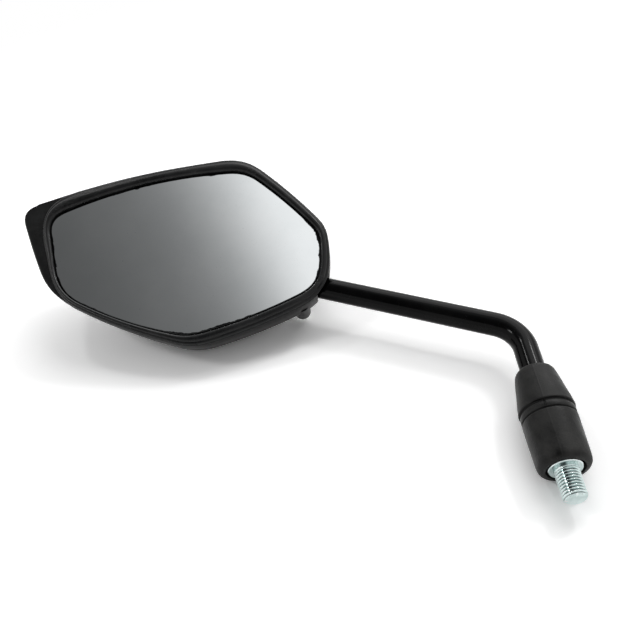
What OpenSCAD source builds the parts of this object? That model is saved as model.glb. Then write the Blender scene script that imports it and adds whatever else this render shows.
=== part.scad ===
// Left-hand motorcycle mirror: a six-cornered head with a convex glass on a bent
// steel stem, a ball joint behind the head, and a threaded stud under a rubber boot.
// Z runs up the stud's axis, the stud's shoulder is at the origin, the stem leaves
// towards -X and the glass looks towards the rider at -Y.

/* [Head outline] */
// Width of the bezel without the wing
head_w = 145; // [120:1:170]
// Height of the bezel
head_h = 98; // [80:1:115]
// How far the shell's outer top corner stands out past the bezel
wing_reach = 10.8; // [4:0.1:14]
// Bezel margin beside the glass, left and right
side_margin = 4.7; // [4.7:0.1:7]
// Bezel margin above and below the glass
top_margin = 6.9; // [6.9:0.1:9]
// How far the glass sits below the middle of the bezel
glass_drop = 0.7; // [0.4:0.1:1]

/* [Head depth] */
// Depth of the shell's side wall
wall_depth = 9; // [6:0.5:12]
// How far the side wall draws in behind the skirt at the wing's end
wall_draft = 1.2; // [0:0.1:1.4]
// Further depth of the domed back behind the side wall
dome_depth = 20; // [14:0.5:26]
// Wall thickness of the shell
shell_t = 2.3; // [1.8:0.1:3]
// Wall thickness of the shell where the bezel's skirt plugs in
rim_t = 1.2; // [1:0.1:1.4]
// Radius of the spherical crown that glass and bezel follow
crown_r = 1200; // [900:50:2000]

/* [Glass and bezel] */
// Thickness of the glass
glass_t = 2; // [1.6:0.1:3]
// Thickness of the double-sided foam tape behind the glass
tape_t = 0.8; // [0.5:0.1:1.2]
// How far the glass edge stands in front of the shell's rim
glass_rise = 0.6; // [0.3:0.1:0.9]
// How far the bead stands proud of the glass edge
bead_proud = 1.8; // [1:0.1:2.5]
// Thickness of the bezel's glass ledge
bezel_t = 1.5; // [1.2:0.1:2]
// Thickness of the bezel's skirt
skirt_t = 1.1; // [0.9:0.1:1.2]
// Gap between the skirt and the shell's rim
skirt_gap = 0.15; // [0.1:0.05:0.25]
// Depth that the skirt plugs into the shell
skirt_depth = 5; // [4:0.5:6]
// Width of the ledge behind the glass edge
ledge_w = 4; // [3:0.5:5]

/* [Stem] */
// Diameter of the stem
stem_d = 11; // [10:0.5:12]
// Height from the stud's shoulder to the corner where leg and arm meet
leg_h = 72; // [66:1:90]
// Length of the arm from that corner to the middle of the ball
arm_len = 122.5; // [100:0.5:150]
// Rise of the arm above the horizontal
arm_rise = 28; // [15:1:40]
// Radius of the bend along its middle line
bend_r = 19; // [15:1:24]
// Diameter of the stem's neck behind the ball
neck_d = 9; // [8:0.5:10]
// Length of the neck from the middle of the ball
neck_len = 15; // [13:0.5:17]

/* [Ball joint] */
// Diameter of the ball
ball_d = 15; // [14:0.5:16]
// Thickness of the plastic liner round the ball
liner_t = 1.5; // [1.2:0.1:2]
// Running gap on each side of the liner
liner_gap = 0.2; // [0.15:0.05:0.3]
// Wall of the ball tower inside the shell
tower_t = 3; // [2.4:0.1:4]
// Radius of the circle that the three clamp screws stand on
screw_ring_r = 19.5; // [18.5:0.5:21]
// Direction of the first clamp screw round the ball
screw_turn = -60; // [-64:1:-58]
// Thickness of the ball retainer
retainer_t = 2; // [1.5:0.1:2.5]
// How far the floor of the joint pocket lies behind the middle of the ball
pocket_floor = 4.5; // [4:0.5:5]
// Radius of the joint pocket in the back of the shell
pocket_r = 24.5; // [24:0.5:27]
// Clearance on each side of the stem in its slot
slot_gap = 1; // [0.8:0.1:1.5]
// Distance from the middle of the ball to where the stem passes the rim
slot_reach = 30; // [28:0.5:34]
// Depth from the shell's front edge to the stem where it passes the rim
rim_to_stem = 7.5; // [7:0.5:9]
// Turn of the head towards the rider about the upright
head_yaw = 4; // [0:1:8]
// Forward lean of the head
head_pitch = 24; // [18:1:28]
// Turn of the head that brings the stem nearest to the bezel
pan_near = 1; // [0:0.5:2]

/* [Fasteners] */
// Diameter of the clamp screws
screw_d = 4; // [3.5:0.5:4.5]
// Length of the clamp screws under their heads
screw_len = 12; // [10:1:12]
// Diameter of the clamp screws' heads
screw_head_d = 7.4; // [6.5:0.1:8]
// Height of the clamp screws' heads
screw_head_h = 2.6; // [2:0.1:3]
// Thickness of the washers under the heads
washer_t = 0.9; // [0.6:0.1:1.2]

/* [Stud and adapter] */
// Outer diameter of the stud's thread
stud_d = 10; // [8:1:10]
// Length of the stud below its shoulder
stud_len = 13; // [11:0.5:20]
// Chamfer at the stud's end
stud_chamfer = 0.9; // [0.5:0.1:1.2]
// Diameter of the washer face at the shoulder
collar_d = 14; // [13:0.5:14.5]
// Height of the washer face
collar_h = 2.4; // [1.5:0.1:3]
// Width across the flats of the adapter
adapter_af = 13; // [12:0.5:13]
// Height of the adapter above the shoulder
adapter_h = 22; // [18:1:24]
// Depth of the adapter's threaded socket
socket_depth = 16; // [12:1:17]
// Diameter of the thread on the stem's end
stem_thread_d = 10; // [9:0.5:10]
// Running gap between the stem's thread and the socket
thread_gap = 0.05; // [0.03:0.01:0.08]
// Width across the flats of the lock nut
nut_af = 14; // [13:0.5:14]
// Height of the lock nut
nut_h = 7.5; // [5:0.5:8]
// Thickness of the washer between lock nut and adapter
lock_washer_t = 1.2; // [0.8:0.1:1.6]

/* [Rubber boot] */
// Largest radius of the boot, at its shoulder below the top cone
boot_r = 11.8; // [11.4:0.1:13]
// Radius of the boot just above its rounded lower end
boot_foot_r = 11.1; // [10.8:0.1:12.5]
// Radius at the top of the cone
boot_top_r = 9.2; // [8.6:0.1:10]
// Height of the boot's top above the stud's shoulder
boot_top = 47.5; // [46:0.5:50]
// How far the boot's mouth reaches below the shoulder
boot_over = 0; // [0:0.1:1.5]
// Lower edge of the band round the boot
band_low = 22.4; // [20:0.2:25]
// Width of the band
band_w = 4.4; // [2:0.1:5]
// Depth of the band
band_depth = 0.35; // [0.2:0.05:0.6]
// Height of the lip at the boot's mouth
mouth_lip = 2.5; // [2:0.1:3]
// Radius of the boot's mouth
mouth_r = 8; // [7.8:0.1:8.4]
// Radius of the boot's inner room
boot_room_r = 8.5; // [8.4:0.1:9]
// Running gap between the boot's upper lip and the stem
lip_gap = 0.05; // [0.03:0.01:0.1]

/* [Hidden] */

housing_black = [0.19, 0.195, 0.195];
bezel_black = [0.12, 0.12, 0.125];
glass_grey = [0.72, 0.74, 0.76];
stem_black = [0.05, 0.05, 0.052];
rubber_black = [0.14, 0.14, 0.14];
zinc = [0.78, 0.81, 0.82];
nylon_white = [0.86, 0.85, 0.8];
foam_grey = [0.32, 0.33, 0.34];

$fn = 96;
// Points on each corner and on each side of an outline
corner_steps = 9;
side_steps = 6;
// Fullness of the corner curves
corner_full = 0.72;
// Overrun of a cut past the face that it opens
over = 1;

// Corners of the bezel's outline as shares of its half width and half height,
// clockwise from the wing, the bow of the side after each corner as a share of
// that side, and the length of each corner's curve as a share of the half height
bezel_corners = [[-1.073, 0.769], [0.463, 1.012], [0.988, 0.133],
                 [0.924, -0.614], [0.025, -1.014], [-0.923, -0.291]];
bezel_bow = [0.022, 0.025, 0.07, 0.031, 0.04, -0.018];
bezel_cut = [0.543, 0.267, 0.129, 0.31, 0.196, 0.313];
// The same for the glass
glass_corners = [[-1.018, 0.675], [0.501, 0.981], [0.996, 0.086],
                 [0.941, -0.577], [-0.012, -1.014], [-0.953, -0.271]];
glass_bow = [0.052, 0.026, 0.055, 0.038, 0.045, -0.012];
glass_cut = [0.221, 0.214, 0.133, 0.238, 0.185, 0.359];
// The shell follows the bezel, with a wing at its first corner and a little more at its last
shell_bow = [0.034, 0.025, 0.07, 0.031, 0.038, 0.015];
shell_cut = [0.196, 0.267, 0.129, 0.31, 0.196, 0.288];
wing_way = [[-0.667, -0.167], [0, 0], [0, 0], [0, 0], [0, 0], [-0.287, 0.213]];

// Places in the head, measured from the middle of the ball: x right, y back, z up
yaw_pitch_slope = asin(-sin(head_yaw) * cos(head_pitch) * cos(arm_rise) - sin(head_pitch) * sin(arm_rise));
slot_roll = atan2(-sin(head_yaw) * cos(head_pitch) * sin(arm_rise) + sin(head_pitch) * cos(arm_rise),
                  cos(head_yaw) * cos(head_pitch));
rim_y = slot_reach * sin(yaw_pitch_slope) - rim_to_stem;
glass_y = rim_y - glass_rise;
// The head's middle beside the ball, and the middle of its domed back
mid = [-0.3117 * head_w, 0.1418 * head_h];
back_mid = mid + [0.0345 * head_w, -0.01 * head_h];
wall_y = rim_y + wall_depth;
bead_y = glass_y - bead_proud;
ledge_y = glass_y + glass_t + tape_t;
// Distance from the head's middle at which the crown passes through the named depths
crown_ref = 0.324 * head_w;

// The ball in the part's frame, and its joint's sizes
ball = [-arm_len * cos(arm_rise), 0, leg_h + arm_len * sin(arm_rise)];
ball_r = ball_d / 2;
liner_in_r = ball_r + liner_gap;
liner_out_r = liner_in_r + liner_t;
seat_r = liner_out_r + liner_gap;
tower_r = seat_r + tower_t;
tower_end = seat_r + 2.1;
// How far the slot is cut in all, past the rim and the bezel
slot_way = slot_reach + 0.138 * head_w;
ear_r = screw_head_d / 2 + 0.5;
// Depth of the turned flat at the ball's far end, and the hole in the middle of the retainer
ball_flat = 0.3;
drain_r = 1.6;
boss_depth = screw_len - retainer_t - washer_t + 1.5;

// The leg
stem_r = stem_d / 2;
bend_cut = bend_r * tan((90 - arm_rise) / 2);
// How far the bend stands proud of the straight lengths that run into it
bend_swell = 0.03;
nut_low = adapter_h + lock_washer_t;
thread_low = adapter_h - socket_depth + 1;
thread_top = nut_low + nut_h + 1.5;
boot_room_top = 38;
nut_chamfer = 0.8;

// Outlines

function cubic(a, b, c, d, t) =
    pow(1 - t, 3) * a + 3 * pow(1 - t, 2) * t * b + 3 * (1 - t) * t * t * c + t * t * t * d;

function next(c, i) = c[(i + 1) % len(c)];
function before(c, i) = (i + len(c) - 1) % len(c);
function side_len(c, i) = norm(next(c, i) - c[i]);

// The middle point that bows the side after a corner outwards
function bowed(c, bow, i) =
    let (d = next(c, i) - c[i]) (c[i] + next(c, i)) / 2 + 2 * bow[i] * [-d[1], d[0]];

function side_at(c, bow, i, t) =
    (1 - t) * (1 - t) * c[i] + 2 * t * (1 - t) * bowed(c, bow, i) + t * t * next(c, i);

function side_way(c, bow, i, t) =
    (1 - t) * (bowed(c, bow, i) - c[i]) + t * (next(c, i) - bowed(c, bow, i));

// The curve that rounds one corner between two places on its sides
function corner_curve(a, b, u, w) =
    let (x = a + cross(b - a, w) / cross(u, w) * u,
         p = a + corner_full * (x - a),
         q = b + corner_full * (x - b))
    [for (j = [0 : corner_steps - 1]) cubic(a, p, q, b, j / corner_steps)];

// A closed outline of bowed sides and rounded corners
function rounded(c, bow, cut) =
    [for (i = [0 : len(c) - 1])
        let (h = before(c, i),
             s = 1 - cut[i] / side_len(c, h),
             e = cut[i] / side_len(c, i),
             f = 1 - next(cut, i) / side_len(c, i))
        each concat(
            corner_curve(side_at(c, bow, h, s), side_at(c, bow, i, e),
                         side_way(c, bow, h, s), side_way(c, bow, i, e)),
            [for (j = [0 : side_steps - 1]) side_at(c, bow, i, e + (f - e) * j / side_steps)])];

function inward(p) =
    [for (i = [0 : len(p) - 1])
        let (d = p[(i + 1) % len(p)] - p[(i + len(p) - 1) % len(p)])
        [d[1], -d[0]] / norm(d)];

function inset(p, d) = let (n = inward(p)) [for (i = [0 : len(p) - 1]) p[i] + d * n[i]];

// A line moved outwards wherever it would lie inside another
function outside_of(p, q) =
    let (n = inward(q)) [for (i = [0 : len(p) - 1]) p[i] - max(0, (p[i] - q[i]) * n[i]) * n[i]];

function placed(shares, w, h, move) =
    [for (c = shares) [c[0] * w / 2 + move[0], c[1] * h / 2 + move[1]]];

function crown(p) = crown_r - sqrt(crown_r * crown_r - pow(norm(p - mid), 2))
    - crown_r + sqrt(crown_r * crown_r - crown_ref * crown_ref);

// A ring of points at one depth, which follows the crown by the given share
function ring(p, y, share = 1) = [for (q = p) [q[0], y + share * crown(q), q[1]]];

glass_w = head_w - 2 * side_margin;
glass_h = head_h - 2 * top_margin;
bezel_points = placed(bezel_corners, head_w, head_h, mid);
bezel_line = rounded(bezel_points, bezel_bow, bezel_cut * head_h / 2);
glass_line = rounded(placed(glass_corners, glass_w, glass_h, mid - [0.2, glass_drop]),
                     glass_bow, glass_cut * glass_h / 2);
shell_line = outside_of(rounded(bezel_points + wing_reach * wing_way, shell_bow, shell_cut * head_h / 2),
                        bezel_line);
// Depth behind which nothing of the skirt is left, out to the head's right edge
skirt_end = rim_y + skirt_depth + crown([mid[0] + head_w / 2, 0]) + 0.4;

function average(r) = [for (k = [0 : 2]) [for (p = r) p[k]] * [for (p = r) 1 / len(r)]];

// Solids from rings

module stack(rings) {
    n = len(rings[0]);
    m = len(rings);
    points = concat([for (r = rings) for (p = r) p], [average(rings[0]), average(rings[m - 1])]);
    sides = [for (k = [0 : m - 2]) for (i = [0 : n - 1])
        let (j = (i + 1) % n, a = k * n + i, b = k * n + j, c = a + n, d = b + n)
        each [[a, d, b], [a, c, d]]];
    front = [for (i = [0 : n - 1]) [i, (i + 1) % n, n * m]];
    back = [for (i = [0 : n - 1]) [n * (m - 1) + (i + 1) % n, n * (m - 1) + i, n * m + 1]];
    polyhedron(points, concat(front, sides, back), convexity = 8);
}

module loop(rings) {
    n = len(rings[0]);
    m = len(rings);
    polyhedron([for (r = rings) for (p = r) p],
        [for (k = [0 : m - 1]) for (i = [0 : n - 1])
            let (j = (i + 1) % n, l = (k + 1) % m, a = k * n + i, b = k * n + j, c = l * n + i, d = l * n + j)
            each [[a, b, d], [a, d, c]]], convexity = 8);
}

// Frames

module in_head() {
    translate(ball) rotate([0, 0, head_yaw]) rotate([head_pitch, 0, 0]) children();
}

module in_joint() {
    translate(ball) rotate([0, arm_rise, 0]) rotate([slot_roll, 0, 0]) children();
}

// The joint's frame seen from the head's
module joint_in_head() {
    rotate([-head_pitch, 0, 0]) rotate([0, 0, -head_yaw]) rotate([0, arm_rise, 0]) rotate([slot_roll, 0, 0])
        children();
}

// A shape turned so that its own Z points to the back of the head
module facing_back() {
    rotate([-90, 0, 0]) children();
}

module each_screw(i) {
    a = screw_turn + 120 * i;
    translate([screw_ring_r * cos(a), 0, screw_ring_r * sin(a)]) facing_back() children();
}

// Rear shell

dome_steps = 9;
function dome_ring(line, k, depth, low) =
    let (a = 84 * k / dome_steps, s = pow(cos(a), 0.8), h = pow(sin(a), 0.85))
    [for (p = line)
        let (q = back_mid + s * (p - back_mid))
        [q[0], low + (1 - h) * crown(p) + depth * h, q[1]]];

// The shell's outline where the side wall ends, drawn in more and more towards the wing
function drafted(p) =
    let (n = inward(p), right = mid[0] + head_w / 2)
    [for (i = [0 : len(p) - 1]) p[i] + wall_draft * (right - p[i][0]) / head_w * n[i]];

module shell_outside() {
    stack(concat([ring(inset(shell_line, 0.5), rim_y), ring(shell_line, rim_y + 0.5),
                  ring(shell_line, rim_y + skirt_depth)],
                 [for (k = [0 : dome_steps]) dome_ring(drafted(shell_line), k, dome_depth, wall_y)]));
}

module shell_inside() {
    room_line = inset(bezel_line, rim_t);
    thin_line = outside_of(inset(shell_line, rim_t), room_line);
    wide_line = inset(shell_line, shell_t);
    thick_y = rim_y + skirt_depth + 0.3;
    stack(concat([ring(room_line, rim_y - over), ring(room_line, rim_y + shell_t),
                  ring(thin_line, rim_y + shell_t + 1), ring(thin_line, thick_y),
                  ring(wide_line, thick_y + 1)],
                 [for (k = [0 : dome_steps])
                     dome_ring(inset(drafted(shell_line), shell_t), k, dome_depth - shell_t, wall_y)]));
}

// What is left standing inside the hollow shell
module inner_walls() {
    translate([0, -tower_end, 0]) facing_back() cylinder(h = tower_end + pocket_floor, r = tower_r);
    translate([0, pocket_floor - shell_t, 0]) facing_back()
        cylinder(h = dome_depth + wall_depth, r = pocket_r + shell_t);
    for (i = [0 : 2])
        translate([0, pocket_floor - boss_depth, 0]) each_screw(i) cylinder(h = boss_depth + over, r = ear_r);
    intersection() {
        joint_in_head() slot(slot_gap + shell_t, slot_way - 5, 2 * stem_d);
        translate([0, skirt_end, -2 * slot_reach])
            cube([2 * slot_reach, 3 * slot_reach, 3 * slot_reach]);
    }
}

// The way of the stem, open to the back
module slot(side_gap, reach, open) {
    rotate([0, 0, -pan_near]) {
        rotate([0, 90, 0]) cylinder(h = reach, r = stem_r + side_gap);
        translate([0, 0, -stem_r - side_gap]) cube([reach, open, stem_d + 2 * side_gap]);
    }
}

module rear_shell() {
    color(housing_black) in_head() difference() {
        union() {
            shell_outside();
            for (i = [0 : 2])
                translate([0, pocket_floor - boss_depth, 0]) each_screw(i)
                    cylinder(h = boss_depth, r = ear_r);
        }
        difference() {
            shell_inside();
            inner_walls();
        }
        translate([0, pocket_floor, 0]) facing_back() cylinder(h = dome_depth, r = pocket_r);
        sphere(r = seat_r);
        translate([0, -1.5, 0]) facing_back() cylinder(h = dome_depth, r = seat_r + 0.15);
        for (i = [0 : 2])
            translate([0, pocket_floor - boss_depth + 1.2, 0]) each_screw(i)
                cylinder(h = boss_depth, r = screw_d / 2 - 0.4, $fn = 32);
        joint_in_head() {
            slot(slot_gap, slot_way, 3 * stem_d);
            translate([slot_reach - 9, -2 * stem_d, -stem_r - slot_gap])
                cube([stem_d + 18, 3 * stem_d, stem_d + 2 * slot_gap]);
        }
    }
}

// Bezel: one closed section carried round the outline. Each point of the section is
// [share of the way from the bezel's edge to the glass edge, extra inset, depth].

lip_gap_share = 0.84;
skirt_in = rim_t + skirt_gap;
// Gap under the flange that rests on the shell's rim
seat_gap = 0.03;
bezel_section = [
    [0, 0.2, rim_y - seat_gap],
    [0, 0, rim_y - 0.5],
    [0, 0.5, rim_y - 1.1],
    [0.2, 0.3, rim_y - 1.3],
    [0.26, 0.2, bead_y + 0.6],
    [0.42, 0, bead_y + 0.05],
    [0.6, 0, bead_y],
    [0.76, 0, bead_y + 0.4],
    [lip_gap_share, 0, bead_y + 1.3],
    [lip_gap_share + 0.02, 0, ledge_y],
    [1, ledge_w, ledge_y],
    [1, ledge_w, ledge_y + bezel_t],
    [0, skirt_in + skirt_t, ledge_y + bezel_t + 0.2],
    [0, skirt_in + skirt_t, rim_y + skirt_depth],
    [0, skirt_in, rim_y + skirt_depth],
    [0, skirt_in, rim_y - seat_gap]];

module front_bezel() {
    edge_in = inward(bezel_line);
    color(bezel_black) in_head() difference() {
        loop([for (s = bezel_section)
            [for (i = [0 : len(bezel_line) - 1])
                let (q = bezel_line[i] + s[0] * (glass_line[i] - bezel_line[i]) + s[1] * edge_in[i])
                [q[0], s[2] + crown(q), q[1]]]]);
        joint_in_head() slot(slot_gap, slot_way, 3 * stem_d);
    }
}

// Glass

module glass_plan(d) {
    facing_back() rotate([180, 0, 0]) linear_extrude(height = 40, center = true)
        polygon(inset(glass_line, d));
}

module crown_shell(front, back) {
    sink = glass_y - crown_r + sqrt(crown_r * crown_r - crown_ref * crown_ref);
    translate([mid[0], sink + crown_r, mid[1]]) difference() {
        sphere(r = crown_r - front, $fn = 400);
        sphere(r = crown_r - back, $fn = 400);
    }
}

module mirror_glass() {
    color(glass_grey) in_head() intersection() {
        glass_plan(0);
        crown_shell(0, glass_t);
    }
}

module glass_tape() {
    color(foam_grey) in_head()
        loop([for (s = [[0.4, glass_t + 0.02], [ledge_w - 0.3, glass_t + 0.02],
                        [ledge_w - 0.3, glass_t + tape_t - 0.02], [0.4, glass_t + tape_t - 0.02]])
            ring(inset(glass_line, s[0]), glass_y + s[1])]);
}

// Ball joint

module liner_half(side) {
    color(nylon_white) in_joint() intersection() {
        difference() {
            sphere(r = liner_out_r);
            sphere(r = liner_in_r);
            rotate([0, 90, 0]) cylinder(h = 2 * liner_out_r, r = neck_d / 2 + 0.5);
        }
        translate([-2 * liner_out_r, side > 0 ? 0.05 : -0.05 - 2 * liner_out_r, -2 * liner_out_r])
            cube([4 * liner_out_r, 2 * liner_out_r, 4 * liner_out_r]);
    }
}

module liner_front() {
    liner_half(-1);
}

module liner_rear() {
    liner_half(1);
}

module ball_retainer() {
    color(stem_black) in_head() difference() {
        union() {
            facing_back() rotate_extrude() difference() {
                union() {
                    intersection() {
                        circle(r = seat_r + retainer_t);
                        translate([0, pocket_floor]) square(2 * seat_r);
                    }
                    translate([0, pocket_floor]) square([seat_r + 3.4, retainer_t]);
                }
                circle(r = seat_r);
            }
            for (i = [0 : 2]) {
                translate([0, pocket_floor, 0]) each_screw(i) cylinder(h = retainer_t, r = ear_r);
                rotate([0, -(screw_turn + 120 * i), 0]) translate([seat_r + 0.4, pocket_floor, 0.75 - ear_r])
                    cube([screw_ring_r - screw_d / 2 - seat_r - 0.8, retainer_t, 2 * ear_r - 1.5]);
            }
        }
        facing_back() cylinder(h = 2 * seat_r, r = drain_r, $fn = 32);
        for (i = [0 : 2])
            translate([0, pocket_floor - over, 0]) each_screw(i)
                cylinder(h = retainer_t + 2 * over, r = screw_d / 2 + 0.3, $fn = 32);
    }
}

module clamp_screw(i) {
    head_y = pocket_floor + retainer_t + washer_t;
    color(zinc) in_head() translate([0, head_y, 0]) each_screw(i) difference() {
        rotate_extrude() polygon([
            [0, -screw_len], [screw_d / 2 - 1.4, -screw_len], [screw_d / 2 - 0.45, -screw_len + 2],
            [screw_d / 2 - 0.45, 0], [screw_head_d / 2, 0], [screw_head_d / 2, screw_head_h * 0.45],
            [screw_head_d / 2 - 0.7, screw_head_h * 0.85], [screw_head_d / 4, screw_head_h],
            [0, screw_head_h]]);
        for (a = [0, 90])
            rotate([0, 0, a]) translate([-0.5, -2, screw_head_h - 1.5]) cube([1, 4, 2]);
    }
}

module spring_washer(i) {
    color(zinc) in_head() translate([0, pocket_floor + retainer_t, 0]) each_screw(i) difference() {
        cylinder(h = washer_t, r = screw_head_d / 2 - 0.1, $fn = 48);
        translate([0, 0, -over]) cylinder(h = washer_t + 2 * over, r = screw_d / 2 + 0.1, $fn = 48);
        translate([0, 0, -over]) rotate([0, 0, 40]) cube([screw_head_d, 0.5, washer_t + 2 * over]);
    }
}

module clamp_screw_1() clamp_screw(0);
module clamp_screw_2() clamp_screw(1);
module clamp_screw_3() clamp_screw(2);
module spring_washer_1() spring_washer(0);
module spring_washer_2() spring_washer(1);
module spring_washer_3() spring_washer(2);

// Stem: leg, bend, arm, neck and ball in one piece

module mirror_stem() {
    straight = arm_len - bend_cut - neck_len - 3;
    straight_r = stem_r - bend_swell;
    color(stem_black) union() {
        translate([0, 0, thread_low]) cylinder(h = thread_top - thread_low + over, r = stem_thread_d / 2);
        translate([0, 0, thread_top]) cylinder(h = leg_h - bend_cut - thread_top + over, r = straight_r);
        translate([-bend_r, 0, leg_h - bend_cut]) {
            rotate([90, 0, 0]) rotate_extrude(angle = 90 - arm_rise)
                translate([bend_r, 0]) circle(r = stem_r);
            rotate([0, arm_rise - 90, 0]) translate([bend_r, 0, 0]) {
                translate([0, 0, -over]) cylinder(h = straight + over, r = straight_r);
                translate([0, 0, straight]) cylinder(h = 3, r1 = straight_r, r2 = neck_d / 2);
                translate([0, 0, straight + 3]) cylinder(h = neck_len, r = neck_d / 2);
                translate([0, 0, straight + 3 + neck_len]) difference() {
                    sphere(r = ball_r);
                    translate([0, 0, ball_r - ball_flat]) cylinder(h = ball_r, r = ball_r);
                }
            }
        }
    }
}

// Stud, adapter and lock nut

module hexagon(af, h) {
    cylinder(h = h, r = af / 2 / cos(30), $fn = 6);
}

// A hexagon with both ends turned down to a cone
module turned_hexagon(af, h) {
    corner = af / 2 / cos(30);
    intersection() {
        hexagon(af, h);
        rotate_extrude() polygon([[0, 0], [af / 2 - 0.1, 0], [corner + 0.1, nut_chamfer],
                                  [corner + 0.1, h - nut_chamfer], [af / 2 - 0.1, h], [0, h]]);
    }
}

module stud_adapter() {
    color(zinc) difference() {
        union() {
            rotate_extrude() polygon([[0, -stud_len], [stud_d / 2 - stud_chamfer, -stud_len],
                                      [stud_d / 2, -stud_len + stud_chamfer], [stud_d / 2, over], [0, over]]);
            cylinder(h = collar_h, r = collar_d / 2);
            translate([0, 0, collar_h - over / 2])
                turned_hexagon(adapter_af, adapter_h - collar_h + over / 2);
        }
        translate([0, 0, adapter_h - socket_depth])
            cylinder(h = socket_depth + over, r = stem_thread_d / 2 + thread_gap);
    }
}

module lock_washer() {
    color(zinc) translate([0, 0, adapter_h]) difference() {
        cylinder(h = lock_washer_t, r = nut_af / 2);
        translate([0, 0, -over]) cylinder(h = lock_washer_t + 2 * over, r = stem_thread_d / 2 + 0.2);
    }
}

module lock_nut() {
    color(zinc) translate([0, 0, nut_low]) difference() {
        turned_hexagon(nut_af, nut_h);
        translate([0, 0, -over]) cylinder(h = nut_h + 2 * over, r = stem_thread_d / 2 + thread_gap);
    }
}

// Rubber boot

module rubber_boot() {
    band_top = band_low + band_w;
    color(rubber_black) rotate_extrude() difference() {
        polygon([
            [mouth_r, -boot_over], [boot_foot_r - 2.4, -boot_over], [boot_foot_r - 1, 0.2],
            [boot_foot_r - 0.3, 1.6], [boot_foot_r, 3.6],
            [boot_r - 0.25, band_low], [boot_r - 0.25 - band_depth, band_low + 0.3],
            [boot_r - band_depth, band_top - 0.3], [boot_r, band_top],
            [boot_top_r, boot_top - 4], [boot_top_r - 0.8, boot_top - 1.7],
            [boot_top_r - 2, boot_top - 0.5], [stem_r + 0.9, boot_top], [stem_r + lip_gap, boot_top],
            [stem_r + lip_gap, boot_room_top + 3], [boot_room_r, boot_room_top - 1],
            [boot_room_r, mouth_lip + 1.5], [mouth_r, mouth_lip]]);
    }
}

rear_shell();
front_bezel();
mirror_glass();
glass_tape();
liner_front();
liner_rear();
ball_retainer();
clamp_screw_1();
clamp_screw_2();
clamp_screw_3();
spring_washer_1();
spring_washer_2();
spring_washer_3();
mirror_stem();
lock_nut();
lock_washer();
stud_adapter();
rubber_boot();
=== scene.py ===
import math

import bmesh
import bpy
from mathutils import Matrix, Vector


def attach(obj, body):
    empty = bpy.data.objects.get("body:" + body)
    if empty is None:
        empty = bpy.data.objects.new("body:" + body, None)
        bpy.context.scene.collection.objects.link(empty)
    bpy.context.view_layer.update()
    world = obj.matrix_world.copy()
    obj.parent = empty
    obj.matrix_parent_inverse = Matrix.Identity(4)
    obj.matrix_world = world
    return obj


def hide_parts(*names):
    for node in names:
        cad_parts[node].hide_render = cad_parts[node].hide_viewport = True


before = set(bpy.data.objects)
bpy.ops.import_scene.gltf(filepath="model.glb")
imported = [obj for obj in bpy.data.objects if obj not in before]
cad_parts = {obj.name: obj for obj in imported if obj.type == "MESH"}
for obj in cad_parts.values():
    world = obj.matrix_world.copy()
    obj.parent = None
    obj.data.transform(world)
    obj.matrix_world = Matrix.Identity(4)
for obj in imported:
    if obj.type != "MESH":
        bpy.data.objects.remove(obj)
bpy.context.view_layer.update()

mm = 0.001
print("frame loaded")

# Places are worked out in millimetres, in the part's own frame or in the head's:
# x right, y back, z up from the middle of the ball.
joint = {"legHeight": 72, "armLength": 122.5, "rise": 28, "yaw": 4, "pitch": 24, "panNear": 1,
         "slotReach": 30, "rimToStem": 7.5}
rise, yaw, pitch = (math.radians(joint[k]) for k in ("rise", "yaw", "pitch"))
ballPlace = Vector((-joint["armLength"] * math.cos(rise), 0,
                    joint["legHeight"] + joint["armLength"] * math.sin(rise)))
headFrame = (Matrix.Translation(ballPlace) @ Matrix.Rotation(yaw, 4, "Z")
             @ Matrix.Rotation(pitch, 4, "X"))
slotRoll = math.atan2(
    math.sin(pitch) * math.cos(rise) - math.sin(yaw) * math.cos(pitch) * math.sin(rise),
    math.cos(yaw) * math.cos(pitch))
jointFrame = (Matrix.Translation(ballPlace) @ Matrix.Rotation(rise, 4, "Y")
              @ Matrix.Rotation(slotRoll, 4, "X"))
jointInHead = headFrame.inverted() @ jointFrame

head = {
    "width": 145, "height": 98, "middle": (-45.2, 13.9), "backMiddle": (-40.2, 12.9),
    "cornerSteps": 26, "sideSteps": 14, "fullness": 0.72,
    "corners": [(-1.073, 0.769), (0.463, 1.012), (0.988, 0.133), (0.924, -0.614), (0.025, -1.014),
                (-0.923, -0.291)],
    "bow": [0.022, 0.025, 0.07, 0.031, 0.04, -0.018],
    "cut": [0.543, 0.267, 0.129, 0.31, 0.196, 0.313],
    "glassWidth": 135.6, "glassHeight": 84.2, "glassMiddle": (-45.4, 13.2),
    "glassCorners": [(-1.018, 0.675), (0.501, 0.981), (0.996, 0.086), (0.941, -0.577), (-0.012, -1.014),
                     (-0.953, -0.271)],
    "glassBow": [0.052, 0.026, 0.055, 0.038, 0.045, -0.012],
    "glassCut": [0.221, 0.214, 0.133, 0.238, 0.185, 0.359],
    "wing": [(-7.2, -1.8), (0, 0), (0, 0), (0, 0), (0, 0), (-3.1, 2.3)],
    "shellBow": [0.034, 0.025, 0.07, 0.031, 0.038, 0.015],
    "shellCut": [0.196, 0.267, 0.129, 0.31, 0.196, 0.288],
    "crown": 1200, "crownReach": 47, "hair": 0.13,
}
rimDepth = joint["slotReach"] * (jointInHead.to_3x3() @ Vector((1, 0, 0))).y - joint["rimToStem"]
glassDepth = rimDepth - 0.6
ledgeDepth = glassDepth + 2.8


def cubic(a, b, c, d, t):
    s = 1 - t
    return a * s ** 3 + b * 3 * s * s * t + c * 3 * s * t * t + d * t ** 3


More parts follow.
